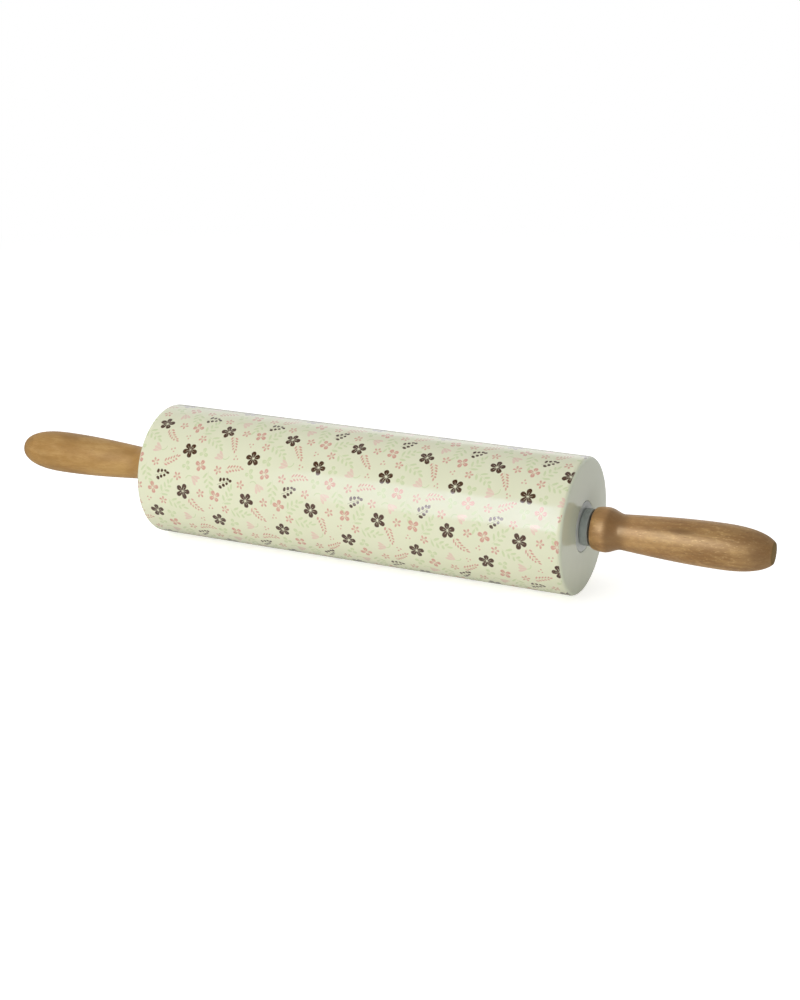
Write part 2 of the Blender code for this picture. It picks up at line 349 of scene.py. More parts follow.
def sprigGroup():
    # a stem with ovals in turn on its two sides: leaves when long, berries when round
    s = sprigShape
    tree, given = openGroup(
        "sprig", "ShaderNodeTree",
        {"X": 0.0, "Y": 0.0, "Chance": 0.0, "Step": 2.6, "Pairs": 1.0, "Reach": 1.6, "Length": 1.5,
         "Width": 0.65, "Tilt": 0.9, "Stem": 0.14},
        {"Ink": "NodeSocketFloat"})
    x = given["X"] + given["Y"].squared() * (given["Chance"] - 0.5) * s["bend"]
    y = given["Y"]
    late = y - x.math("SIGN") * given["Step"] * s["stagger"]
    row = (late / given["Step"]).math("ROUND").math("MINIMUM", given["Pairs"])
    row = row.math("MAXIMUM", given["Pairs"] * -1)
    taper = 1 - (row / given["Pairs"]) * s["taper"]
    out = x.math("ABSOLUTE") - given["Reach"] * taper
    rise = late - row * given["Step"]
    cosine = given["Tilt"].math("COSINE")
    sine = given["Tilt"].math("SINE")
    leaves = ovalInk(out * cosine + rise * sine, rise * cosine - out * sine, given["Length"] * taper,
                     given["Width"])
    end = given["Step"] * (given["Pairs"] + 0.5) + given["Length"] * s["tip"]
    tip = ovalInk(y - end, x, given["Length"], given["Width"])
    foot = given["Step"] * (given["Pairs"] + s["foot"])
    stem = (x.math("ABSOLUTE") - given["Stem"]).ramp(s["stemEdge"], -s["stemEdge"])
    stem = stem * y.ramp(end, end - s["tipEdge"]) * y.ramp(foot * -1 - s["footEdge"], foot * -1)
    closeGroup(tree, {"Ink": largest([leaves, tip, stem])})
    return tree


bellShape = {
    "scale": 1.25,
    "flare": (1.6, -1.4, 1.35, 2.25),  # from the crown down to the hem, and the half widths there
    "domeDrop": 0.2, "domeHeight": 2.3, "domeEdge": (1.1, 0.9),
    "scallops": 3.6, "scallopDepth": 0.34, "hem": (-1.3, -1.1),
    "foldPlace": 0.62, "fold": (0.06, 0.2, 0.35, 1.0),
    "stalkMiddle": (1.9, 2.1), "stalkRadius": 1.9, "stalkEdge": (0.3, 0.12),
    "stalkFoot": (2.0, 2.3), "stalkEnd": (2.6, 2.3),
}


def bellGroup():
    # a hanging bell with a scalloped hem, and the stalk that it hangs from
    s = bellShape
    tree, given = openGroup(
        "bell", "ShaderNodeTree",
        {"X": 0.0, "Y": 0.0, "Chance": 0.0},
        {"Ink": "NodeSocketFloat", "Stalk": "NodeSocketFloat"})
    x, y = given["X"] / s["scale"], given["Y"] / s["scale"]
    across = (x / y.ramp(*s["flare"])).squared()
    down = ((y + s["domeDrop"]) / s["domeHeight"]).squared()
    hem = (x * s["scallops"]).math("COSINE") * s["scallopDepth"]
    bell = (across + down).ramp(*s["domeEdge"]) * (y + hem).ramp(*s["hem"])
    fold = (x.math("ABSOLUTE") - s["foldPlace"]).math("ABSOLUTE").ramp(*s["fold"])
    middleX, middleY = s["stalkMiddle"]
    curl = hypotenuse(x - middleX, y - middleY) - s["stalkRadius"]
    stalk = curl.math("ABSOLUTE").ramp(*s["stalkEdge"]) * y.ramp(*s["stalkFoot"]) * x.ramp(*s["stalkEnd"])
    closeGroup(tree, {"Ink": bell * fold, "Stalk": stalk})
    return tree


def flowerPrint(tree, point, ground):
    # lays every motif's ink on the ground colour, and tells how much that ink shines
    look = printLook
    place = placeMotifGroup()
    groups = {"ring": petalRingGroup(), "sprig": sprigGroup(), "bell": bellGroup()}
    x, y, z = split(point)
    stray = wireOf(tree, "ShaderNodeTexNoise",
                   {"Vector": point, "Scale": look["wobbleScale"], "Detail": 2.0}, "Color")
    strayAcross, strayAlong, _ = split(stray)
    sideRadius = barrelRadius * toMillimetres
    across = y.math("ARCTAN2", z) * sideRadius + (strayAcross - 0.5) * look["wobble"]
    along = x + (strayAlong - 0.5) * look["wobble"]
    inks = {name: [] for name in look["inks"]}
    for seed, (ink, motif, acrossShift, alongShift, turn, swing) in enumerate(printLayout):
        kind, sizes = motifs[motif]
        spot = useGroup(tree, place, {
            "Across": across, "Along": along, "Shift Across": acrossShift, "Shift Along": alongShift,
            "Turn": turn, "Swing": swing, "Seed": float(seed)})
        marks = useGroup(tree, groups[kind], {"X": spot[0], "Y": spot[1], "Chance": spot[2], **sizes})
        inks[ink].append(marks[0])
        if kind == "bell":
            inks["green"].append(marks[1])

    mottle = noise(point, look["mottleScale"], 3.0).ramp(*look["mottle"])
    rimStart, rimEnd = [sideRadius - inwards for inwards in look["rim"]]
    onSide = hypotenuse(y, z).ramp(rimStart, rimEnd)
    colour = ground
    shine = []
    for name, marks in inks.items():
        cover = largest(marks) * mottle * onSide
        colour = mixColour(tree, cover, colour, look["inks"][name])
        shine.append(cover * look["gloss"][name])
    return colour, largest(shine)


glazeLook = {
    "side": paint(230, 231, 202), "drifted": paint(224, 227, 194), "end": paint(226, 231, 205),
    "bisque": paint(222, 212, 192),  # bare fired clay in the hollow
    "driftShare": 0.35,
    "roughness": 0.13, "bisqueRoughness": 0.8,
    "reflection": (0.6, 0.64, 1, 1),  # what the glaze mirrors turns a little blue
    "inkBend": 1.9,  # the ink's coat mirrors like heavy glass
    "rim": (1.6, 0.2),  # the side's colour turns to the end's over this stretch, short of the end face
    "hollowRadius": (30.5, 29.5), "hollowLength": (114.0, 113.0),
    "waveDepth": 0.0006, "waveStrength": 0.35, "rippleShare": 0.05,
}


def glazeFinish():
    look = glazeLook
    mat, tree, shader = newFinish("glazedCeramic", Specular_IOR_Level=0.5, Coat_IOR=look["inkBend"],
                                  Coat_Roughness=look["roughness"], Specular_Tint=look["reflection"])
    point = millimetres(tree)
    x, y, z = split(point)
    fromMiddle = x.math("ABSOLUTE")
    drift = noise(point, 0.035, 3.0).ramp(0.3, 0.7)
    side = mixColour(tree, drift * look["driftShare"], look["side"], look["drifted"])
    rimStart, rimEnd = [halfBarrel * toMillimetres - before for before in look["rim"]]
    ground = mixColour(tree, fromMiddle.ramp(rimStart, rimEnd), side, look["end"])
    printed, shine = flowerPrint(tree, point, ground)
    inside = hypotenuse(y, z).ramp(*look["hollowRadius"]) * fromMiddle.ramp(*look["hollowLength"])
    waves = noise(point, 0.06, 1.0) + noise(point, 0.45, 2.0) * look["rippleShare"]
    surface = bump(tree, waves, look["waveDepth"], look["waveStrength"])
    dress(tree, shader, Base_Color=mixColour(tree, inside, printed, look["bisque"]),
          Roughness=inside.ramp(0, 1, look["roughness"], look["bisqueRoughness"]),
          Normal=surface, Coat_Weight=shine, Coat_Normal=surface)
    return mat


woodGrain = {
    "ringWander": 2.4, "lateWood": (0.3, 0.9), "ringShare": 0.2, "fibreShare": 0.3,
    "dash": (0.28, 0.14), "dashChoice": 0.12,  # the breadth of a dash, and how sharply some are left out
    # millimetres from the pin's middle
    "warm": (190, 125), "warmShare": 0.35,
    # the hollow behind the bead, where painted shade darkens the wood
    "hollowStart": (131.5, 135), "hollowEnd": (147, 140),
    "dull": (190, 214), "dullShare": 0.2,
    "endGrainAndShade": (214.4, 214.8), "endGrainDull": 0.4,
    "polishSpread": 0.05,
    "fibreHeight": 0.25, "poreDepth": 0.8, "toolMarks": 5.2, "toolDepth": 0.03,
    "bumpDepth": 0.00012, "bumpStrength": 0.5,
}


def woodFinish(name, look):
    # beech, turned and oiled: faint rings, fine fibres, short pores and flecks, and darker end grain whose
    # colour also carries painted shade; painted shade on the tip and in the hollow behind the bead
    g = woodGrain
    mat, tree, shader = newFinish(name, Specular_IOR_Level=look["sheen"], Specular_Tint=look["glow"],
                                  IOR=look["bend"])
    plain = millimetres(tree)
    point = stretched(plain, (1, 1, 1), look["shift"], look["lean"])
    _, y, z = split(point)
    fibre = noise(stretched(point, (0.07, 1, 1)), 2.4, 3.0, 0.6)
    wander = noise(stretched(point, (0.25, 1, 1)), 0.09, 2.0)
    fromPith = hypotenuse(y - look["pith"][0], z - look["pith"][1])
    ring = (fromPith / look["ringWidth"] + wander * g["ringWander"]).math("FRACT")
    late = ring.ramp(*g["lateWood"]) * ring.ramp(1.0, g["lateWood"][1])
    cloud = noise(stretched(point, (0.3, 1, 1)), 0.13, 4.0, 0.6)
    grain = noise(stretched(point, (0.35, 1, 1)), 0.8, 3.0, 0.65)
    colour = mixColour(tree, cloud.ramp(0.36, 0.62), look["light"], look["deep"])
    colour = mixColour(tree, late * g["ringShare"], colour, look["late"])
    colour = mixColour(tree, fibre.ramp(0.42, 0.7) * g["fibreShare"], colour, look["late"])
    colour = mixColour(tree, grain.ramp(0.5, 0.72) * look["grainShare"], colour, look["late"])
    colour = mixColour(tree, grain.ramp(0.48, 0.3) * look["grainShare"], colour, look["fleck"])

    # pores are short dark dashes along the grain, and flecks are short pale ones
    pores = dashes(point, (0.22, 1, 1), 1.2, 0.45)
    flecks = dashes(point, (0.34, 1, 1), 1.1, 0.1)
    colour = mixColour(tree, pores * look["poreShare"], colour, look["pore"])
    colour = mixColour(tree, flecks * look["fleckShare"], colour, look["fleck"])

    # worn patches and a stain have taken up more oil; the tip is darker from oil and also by painted shade,
    # and the hollow behind the bead is painted shade
    patch = noise(stretched(point, (0.5, 1, 1), (11, 3, 7)), 0.075, 2.0).ramp(0.52, 0.7)
    fromMiddle = split(plain)[0].math("ABSOLUTE")
    # partly painted shade: the tip is darkened for oil and also for the shade where it turns away from the
    # light
    tip = fromMiddle.ramp(look["tipStart"], look["tipEnd"]) * look["tipOilAndShade"]
    # painted shade: the hollow behind the bead is darkened where the bead's flank turns away from the light
    hollow = fromMiddle.ramp(*g["hollowStart"]) * fromMiddle.ramp(*g["hollowEnd"]) * look["hollowPaintedShade"]
    aside = wireOf(tree, "ShaderNodeVectorMath", {0: plain, 1: look["stain"]}, operation="SUBTRACT")
    across = wireOf(tree, "ShaderNodeVectorMath", {0: aside, 1: look["stainSize"]}, operation="DIVIDE")
    reach = wireOf(tree, "ShaderNodeVectorMath", {0: across}, output="Value", operation="LENGTH")
    stain = reach.ramp(1.0, 0.2) * look["stainShade"]
    # one darker colour for oil in patches, stains and the tip, and for painted shade on the tip and in the
    # hollow
    oilAndShade = largest([patch * look["patchShade"], tip, hollow, stain])
    colour = mixColour(tree, fromMiddle.ramp(*g["warm"]) * g["warmShare"], colour, look["warm"])
    colour = mixColour(tree, oilAndShade, colour, look["oilAndShade"])
    # the flat end: end grain, darker from oil and also by painted shade
    endGrainAndShade = fromMiddle.ramp(*g["endGrainAndShade"])
    shiniest, dullest = look["polish"] - g["polishSpread"], look["polish"] + g["polishSpread"]
    dull = fromMiddle.ramp(*g["dull"]) * g["dullShare"] + endGrainAndShade * g["endGrainDull"]
    toolMarks = (fromMiddle * g["toolMarks"]).math("SINE") * g["toolDepth"]
    height = fibre * g["fibreHeight"] - pores * g["poreDepth"] + toolMarks
    dress(tree, shader, Base_Color=mixColour(tree, endGrainAndShade, colour, look["endGrainAndShade"]),
          Roughness=fibre.ramp(0.3, 0.7, shiniest, dullest) + dull,
          Normal=bump(tree, height, g["bumpDepth"], g["bumpStrength"]))
    return mat


def dashes(point, stretch, scale, few):
    # short dashes along the grain, 1 in the middle of each; few leaves out that share of them
    cells = addNode(point.tree, "ShaderNodeTexVoronoi",
                    {"Vector": stretched(point, stretch), "Scale": scale, "Randomness": 1.0})
    near = Wire(point.tree, cells.outputs["Distance"])
    chosen = split(Wire(point.tree, cells.outputs["Color"]))[0]
    return near.ramp(*woodGrain["dash"]) * chosen.ramp(few, few + woodGrain["dashChoice"])


def roundAxle(point):
    # the same point folded flat: its distance from the axle, and its place along it
    x, y, z = split(point)
    return join(point.tree, hypotenuse(y, z), x, 0.0)


def plasticFinish():
    # moulded plastic: a fine spark-eroded skin and faint flow lines round the axle
    mat, tree, shader = newFinish("bushPlastic", Roughness=0.38)
    point = millimetres(tree)
    flow = noise(roundAxle(point), 1.6, 2.0)
    skin = noise(point, 9.0, 2.0)
    tint = mixColour(tree, flow.ramp(0.35, 0.65) * 0.5, paint(206, 210, 206), paint(192, 197, 194))
    dress(tree, shader, Base_Color=tint, Roughness=skin.ramp(0.3, 0.7, 0.32, 0.46),
          Normal=bump(tree, skin + flow * 0.6, distance=0.00002, strength=0.5))
    return mat


def turnedMetalFinish(name, light, dark, roughness, metallic=1.0):
    # a turned metal: fine tool lines round the axle, and a slight cloud
    mat, tree, shader = newFinish(name, Metallic=metallic)
    point = millimetres(tree)
    lines = noise(roundAxle(point), 14.0, 3.0, 0.7)
    cloud = noise(point, 0.35, 3.0)
    share = lines * 0.6 + cloud * 0.4
    dress(tree, shader, Base_Color=mixColour(tree, share.ramp(0.35, 0.65), light, dark),
          Roughness=lines.ramp(0.3, 0.7, roughness - 0.06, roughness + 0.08),
          Normal=bump(tree, lines, distance=0.00001, strength=0.5))
    return mat


def dullFinish(name, light, dark, grain, roughness):
    # rubber or pressed fibre: matt, with a fine grain
    mat, tree, shader = newFinish(name)
    speck = noise(millimetres(tree), grain, 3.0, 0.65)
    dress(tree, shader, Base_Color=mixColour(tree, speck.ramp(0.35, 0.65), light, dark),
          Roughness=speck.ramp(0.3, 0.7, roughness - 0.08, roughness + 0.08),
          Normal=bump(tree, speck, distance=0.00004, strength=0.6))
    return mat


# The lathe: turns an outline of (x, 0, radius) points about the axle

def latheTree():
    tree, given = openGroup(
        "turnOnLathe", "GeometryNodeTree",
        {"Outline": "NodeSocketGeometry", "Sides": 96, "Axis Height": 0.0, "Thread Depth": 0.0,
         "Thread Pitch": 0.001, "Finish": "NodeSocketMaterial"},
        {"Piece": "NodeSocketGeometry"})
    count = wireOf(tree, "GeometryNodeAttributeDomainSize", {"Geometry": given["Outline"]},
                   component="MESH")
    columns = given["Sides"] + 1
    grid = wireOf(tree, "GeometryNodeMeshGrid", {"Vertices X": count, "Vertices Y": columns})
    index = wireOf(tree, "GeometryNodeInputIndex")
    row = (index / columns).math("FLOOR")
    turn = (index - row * columns) / given["Sides"]

    def fromOutline(field, kind):
        inputs = {"Geometry": given["Outline"], "Value": field, "Index": row}
        return wireOf(tree, "GeometryNodeSampleIndex", inputs, data_type=kind, domain="POINT")

    x, _, radius = split(fromOutline(wireOf(tree, "GeometryNodeInputPosition"), "FLOAT_VECTOR"))
    threadMark = wireOf(tree, "GeometryNodeInputNamedAttribute", {"Name": "thread"}, data_type="FLOAT")
    groove = (x / given["Thread Pitch"] + turn).math("PINGPONG", 0.5) * given["Thread Depth"] * 2
    radius = radius - groove * fromOutline(threadMark, "FLOAT")
    angle = turn * (2 * pi)
    place = join(tree, x, radius * angle.math("SINE"),
                 given["Axis Height"] - radius * angle.math("COSINE"))
    turned = wireOf(tree, "GeometryNodeSetPosition", {"Geometry": grid, "Position": place})
    closed = wireOf(tree, "GeometryNodeMergeByDistance", {"Geometry": turned, "Distance": 0.000002})
    real = wireOf(tree, "GeometryNodeRealizeInstances", {"Geometry": closed})
    finished = wireOf(tree, "GeometryNodeSetMaterial", {"Geometry": real, "Material": given["Finish"]})
    closeGroup(tree, {"Piece": finished})
    return tree


def slitTree():
    # saws slits round the axle through the skirt of a bush, which leaves its snap fingers
    tree, given = openGroup(
        "slitSkirt", "GeometryNodeTree",
        {"Bush": "NodeSocketGeometry", "Fingers": 4, "Middle": 0.0, "Length": 0.007,
         "Slit Width": 0.0016, "Slit Radius": 0.0088, "Slit Depth": 0.0045, "Axis Height": 0.0,
         "Finish": "NodeSocketMaterial"},
        {"Piece": "NodeSocketGeometry"})
    size = join(tree, given["Length"], given["Slit Width"], given["Slit Depth"])
    saw = wireOf(tree, "GeometryNodeMeshCube", {"Size": size})
    raised = wireOf(tree, "GeometryNodeTransform", {
        "Geometry": saw, "Translation": join(tree, 0.0, 0.0, given["Slit Radius"])})
    places = wireOf(tree, "GeometryNodePoints", {
        "Count": given["Fingers"], "Position": join(tree, given["Middle"], 0.0, given["Axis Height"])})
    turn = (wireOf(tree, "GeometryNodeInputIndex") + 0.5) / given["Fingers"] * (2 * pi)
    cuts = wireOf(tree, "GeometryNodeInstanceOnPoints", {
        "Points": places, "Instance": raised, "Rotation": join(tree, turn, 0.0, 0.0)})
    saws = wireOf(tree, "GeometryNodeRealizeInstances", {"Geometry": cuts})
    cut = addNode(tree, "GeometryNodeMeshBoolean", {"Mesh 1": given["Bush"], "Mesh 2": saws},
                  operation="DIFFERENCE", solver="EXACT")
    real = wireOf(tree, "GeometryNodeRealizeInstances", {"Geometry": Wire(tree, cut.outputs["Mesh"])})
    finished = wireOf(tree, "GeometryNodeSetMaterial", {"Geometry": real, "Material": given["Finish"]})
    closeGroup(tree, {"Piece": finished})
    return tree


lathe = latheTree()
slitter = slitTree()


def corner(before, here, after, radius, steps=5):
    # the points that round off one corner of an outline
    here = Vector(here)
    toBefore = (Vector(before) - here).normalized()
    toAfter = (Vector(after) - here).normalized()
    opening = toBefore.angle(toAfter)
    if radius <= 0 or opening > radians(178):
        return [here]
    middle = here + (toBefore + toAfter).normalized() * (radius / sin(opening / 2))
    first = here + toBefore * (radius / abs(sin(opening / 2)) * cos(opening / 2))
    sweep = pi - opening
    spoke = first - middle
    side = 1 if spoke.cross(toBefore * -1) > 0 else -1
    points = []
    for i in range(steps + 1):
        angle = side * sweep * i / steps
        points.append(middle + Vector((spoke.x * cos(angle) - spoke.y * sin(angle),
                                       spoke.x * sin(angle) + spoke.y * cos(angle))))
    return points


def roundedOutline(corners):
    # (x, radius, rounding) corners of a closed outline become its points, and the last one is the first
    points = []
    for i, (x, r, rounding) in enumerate(corners):
        before = corners[i - 1][:2]
        after = corners[(i + 1) % len(corners)][:2]
        points += corner(before, (x, r), after, rounding)
    return points + [points[0]]


noThread = {"stretches": (), "depth": 0.0, "pitch": 0.001}


def turnPiece(name, outline, sides, finish, body, thread=noThread, slits=None):
    # the thread covers its stretches of x, and the slits are the inputs of slitSkirt
    mesh = bpy.data.meshes.new(name)
    mesh.from_pydata([(x, 0, r) for x, r in outline], [], [])
    marks = mesh.attributes.new("thread", "FLOAT", "POINT")
    for i, (x, _) in enumerate(outline):
        marks.data[i].value = float(any(low < x < high for low, high in thread["stretches"]))
    piece = bpy.data.objects.new(name, mesh)
    bpy.context.scene.collection.objects.link(piece)
    common = {"Axis Height": axisHeight, "Finish": finish}
    giveNodes(piece, lathe, {"Sides": sides, "Thread Depth": thread["depth"],
                             "Thread Pitch": thread["pitch"], **common})
    if slits:
        giveNodes(piece, slitter, {**slits, **common})
    return finishPiece(piece, finish, body)


def giveNodes(piece, group, settings):
    working = piece.modifiers.new(group.name, "NODES")
    working.node_group = group
    for item in group.interface.items_tree:
        if item.name in settings:
            working[item.identifier] = settings[item.name]


def finishPiece(piece, finish, body):
    # keeps the modifiers' result as a plain closed mesh that rides on its body
    seen = piece.evaluated_get(bpy.context.evaluated_depsgraph_get())
    mesh = bpy.data.meshes.new_from_object(seen)
    piece.modifiers.clear()
    piece.data = mesh
    bm = bmesh.new()
    bm.from_mesh(mesh)
    bmesh.ops.recalc_face_normals(bm, faces=bm.faces)
    if bm.calc_volume(signed=True) < 0:
        bmesh.ops.reverse_faces(bm, faces=bm.faces)
    bm.to_mesh(mesh)
    bm.free()
    mesh.materials.clear()
    mesh.materials.append(finish)
    mesh.shade_smooth()
    mesh.set_sharp_from_angle(angle=radians(35))
    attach(piece, body)
    return piece


def mirrored(outline):
    return [(-x, r) for x, r in reversed(outline)]


# Barrel

barrelSizes = {
    "sides": 192, "rim": 0.0022, "wall": 0.006, "endWall": 0.008, "fillet": 0.006,
    "hole": 0.0097, "holeEdge": 0.0004, "mouth": 0.0006,
    "recess": 0.0011, "recessRadius": 0.013, "recessEdge": 0.0003,
}


def makeBarrel(finish):
    s = barrelSizes
    cavity = barrelRadius - s["wall"]
    inner = halfBarrel - s["endWall"]
    seat = halfBarrel - s["recess"]
    right = [(inner, cavity, s["fillet"]), (inner, s["hole"], s["holeEdge"]), (seat, s["hole"], s["mouth"]),
             (seat, s["recessRadius"], s["recessEdge"]), (halfBarrel, s["recessRadius"], s["recessEdge"]),
             (halfBarrel, barrelRadius, s["rim"])]
    left = [(-x, r, rounding) for x, r, rounding in reversed(right)]
    piece = turnPiece("barrelSkin", roundedOutline(right + left), s["sides"], finish, "roller")
    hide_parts("barrel")


# Handles

handleSizes = {
    "sides": 96, "steps": 14, "face": 0.0099,
    "bead": 0.0113, "beadPlace": 0.0061, "neck": 0.0089, "neckPlace": 0.0147,
    "grip": 0.0113, "gripToTip": 0.026, "tip": 0.0054, "tipFullness": 2.4, "tipEdge": 0.0003,
    "bore": 0.0051, "boreDepth": 0.0223, "boreEdge": 0.0004, "pilot": 0.0033, "pilotDepth": 0.0263,
}


def blend(start, end, shape, steps):
    # points from one (x, radius) to the next, the radius following shape as x runs evenly
    shares = [i / steps for i in range(1, steps + 1)]
    return [(start[0] + (end[0] - start[0]) * t, start[1] + (end[1] - start[1]) * shape(t))
            for t in shares]


def handleOutline(length):
    s = handleSizes
    steps = s["steps"]
    grip = (length - s["gripToTip"], s["grip"])
    bead = (s["beadPlace"], s["bead"])
    neck = (s["neckPlace"], s["neck"])
    quarter = [pi / 2 * i / steps for i in range(steps + 1)]
    points = [(bead[0] - bead[0] * cos(a), s["face"] + (bead[1] - s["face"]) * sin(a)) for a in quarter]
    points += blend(bead, neck, lambda t: (1 - cos(pi * t)) / 2, steps)
    points += blend(neck, grip, lambda t: sin(pi * t / 2), steps)
    power = 2 / s["tipFullness"]
    last = acos((s["tip"] / grip[1]) ** (1 / power))
    points += [(grip[0] + s["gripToTip"] * (sin(last * t) / sin(last)) ** power,
                grip[1] * cos(last * t) ** power)
               for t in (i / steps for i in range(1, steps + 1))]
    edge = points.pop()
    soft = corner(points[-1], edge, (edge[0], 0), s["tipEdge"], 3)
    return points + [tuple(point) for point in soft]


def makeHandle(label, side, finish):
    s = handleSizes
    low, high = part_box(label + "_handle")
    face = min(abs(low.x), abs(high.x))
    length = high.x - low.x
    bore = [(s["pilotDepth"], 0), (s["pilotDepth"], s["pilot"]), (s["boreDepth"], s["pilot"]),
            (s["boreDepth"], s["bore"]), (s["boreEdge"], s["bore"]), (0, s["bore"] + s["boreEdge"])]
    outline = bore + handleOutline(length) + [(length, 0)]
    placed = [(side * (face + x), r) for x, r in outline]
    piece = turnPiece(label + "TurnedHandle", placed, s["sides"], finish, "handles")
    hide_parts(label + "_handle")


# Fittings between the barrel and the handles, measured outwards from the barrel's end face

bushSizes = {
    "sides": 96, "bore": 0.0043, "hub": 0.006, "hubEnd": 0.014, "coreFloor": 0.0016,
    "flange": 0.0128, "flangeFront": 0.0, "flangeBack": -0.0009,
    "skirt": 0.0094, "skirtInner": 0.007, "skirtEnd": 0.011, "skirtTaper": 0.0004,
    "groove": 0.0077, "grooveFront": 0.0018, "grooveBack": 0.0038,
    "barb": 0.0007, "barbFront": 0.0083,
    "fingers": 4, "slitFront": 0.005, "slitBack": 0.0137, "slitWidth": 0.0016,
    "slitInner": 0.0065, "slitOuter": 0.0108,
    "crisp": 0.0001, "soft": 0.0002, "full": 0.0003,  # roundings
}


def outwards(side, outline):
    # from places beyond the barrel's end face to places along the axle
    return [(side * (halfBarrel + x), r) for x, r in outline]


def makeBush(label, side, finish):
    s = bushSizes
    outline = roundedOutline([
        (s["flangeFront"], s["bore"], s["soft"]),
        (s["flangeFront"], s["flange"], s["full"]),
        (s["flangeBack"], s["flange"], s["crisp"]),
        (s["flangeBack"], s["skirt"], 0),
        (-s["grooveFront"], s["skirt"], s["crisp"]),
        (-s["grooveFront"], s["groove"], s["crisp"]),
        (-s["grooveBack"], s["groove"], s["crisp"]),
        (-s["grooveBack"], s["skirt"], s["crisp"]),
        (-s["barbFront"], s["skirt"], 0),
        (-s["barbFront"], s["skirt"] + s["barb"], s["crisp"]),
        (-s["skirtEnd"], s["skirt"] - s["skirtTaper"], s["soft"]),
        (-s["skirtEnd"], s["skirtInner"], s["soft"]),
        (-s["coreFloor"], s["skirtInner"], s["soft"]),
        (-s["coreFloor"], s["hub"], s["soft"]),
        (-s["hubEnd"], s["hub"], s["full"]),
        (-s["hubEnd"], s["bore"], s["full"]),
    ])
    slits = {"Fingers": s["fingers"], "Middle": side * (halfBarrel - (s["slitFront"] + s["slitBack"]) / 2),
             "Length": s["slitBack"] - s["slitFront"], "Slit Width": s["slitWidth"],
             "Slit Radius": (s["slitInner"] + s["slitOuter"]) / 2,
             "Slit Depth": s["slitOuter"] - s["slitInner"]}
    piece = turnPiece(label + "EndBush", outwards(side, outline), s["sides"], finish, "roller",
                      slits=slits)
    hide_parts(label + "_bush")


fittingSizes = {
    "sides": 96, "bore": 0.0043,
    "sealRadius": 0.0007, "sealSteps": 20,
    "insertSides": 64, "insertBore": 0.0033, "insertBands": 5, "bandDepth": 0.0004,
    "crisp": 0.0001, "soft": 0.0002, "full": 0.0004,  # roundings
}


def spanOf(node):
    # a fitting's two ends, outwards from the barrel's end face, and its radius
    low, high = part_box(node)
    back = min(abs(low.x), abs(high.x)) - halfBarrel
    return back, back + high.x - low.x, (high.z - low.z) / 2


def plainRing(node, inside, outside):
    # the corners of a ring's section, with the roundings of its bore and of its rim
    back, front, outer = spanOf(node)
    bore = fittingSizes["bore"]
    return [(front, bore, inside), (front, outer, outside), (back, outer, outside), (back, bore, inside)]


def makeFittings(label, side, finishes):
    s = fittingSizes
    radius = s["sealRadius"]
    middle = -(bushSizes["grooveFront"] + bushSizes["grooveBack"]) / 2
    angles = [2 * pi * i / s["sealSteps"] for i in range(s["sealSteps"] + 1)]
    circle = [(middle + radius * cos(a), bushSizes["skirt"] - radius + radius * sin(a)) for a in angles]
    ring = turnPiece(label + "SealRing", outwards(side, circle), s["sides"], finishes["soft"], "roller")
    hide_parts(label + "_seal_ring")

    outline = roundedOutline(plainRing(label + "_collar", s["soft"], s["full"]))
    collar = turnPiece(label + "ThrustCollar", outwards(side, outline), s["sides"], finishes["zinc"],
                       "handles")
    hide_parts(label + "_collar")

    outline = roundedOutline(plainRing(label + "_washer", s["crisp"], s["crisp"]))
    washer = turnPiece(label + "PackingWasher", outwards(side, outline), s["sides"], finishes["fibre"],
                       "handles")
    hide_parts(label + "_washer")

    back, front, outer = spanOf(label + "_insert")
    bands = s["insertBands"]
    corners = [(back, s["insertBore"], s["soft"])]
    for i in range(bands):
        r = outer - (i % 2) * s["bandDepth"]
        corners += [(back + (front - back) * end / bands, r, s["crisp"]) for end in (i, i + 1)]
    corners.append((front, s["insertBore"], s["soft"]))
    insert = turnPiece(label + "ThreadedInsert", outwards(side, roundedOutline(corners)),
                       s["insertSides"], finishes["brass"], "handles")
    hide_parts(label + "_insert")


axleSizes = {
    "sides": 64,
    "seatGap": 0.0003,  # between the shoulder and the handle's face
    "step": 0.001, "relief": 0.0006, "bevel": 0.0008,
    "pitch": 0.001, "depth": 0.0005, "rowsPerTurn": 8,
    "margin": 0.001, "runOut": 0.0005,  # plain before the thread, and where it starts to cut
}


def makeAxle(finish):
    s = axleSizes
    low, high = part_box("axle")
    tip = high.x
    radius = (high.z - low.z) / 2
    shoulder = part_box("right_handle")[0].x - s["seatGap"]
    core = radius - s["step"]
    rows = int((tip - shoulder - 2 * s["margin"]) / s["pitch"] * s["rowsPerTurn"])
    start = shoulder + s["margin"]
    stop = tip - s["margin"]
    end = [(0, radius), (shoulder, radius), (shoulder, core), (shoulder + s["relief"], core)]
    end += [(start + (stop - start) * i / rows, core) for i in range(rows + 1)]
    end += [(tip - s["bevel"], core), (tip, core - s["bevel"]), (tip, 0)]
    near, far = start + s["runOut"], stop - s["runOut"]
    thread = {"stretches": [(near, far), (-far, -near)], "depth": s["depth"], "pitch": s["pitch"]}
    piece = turnPiece("steelAxle", mirrored(end) + end[1:], s["sides"], finish, "handles",
                      thread)
    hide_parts("axle")


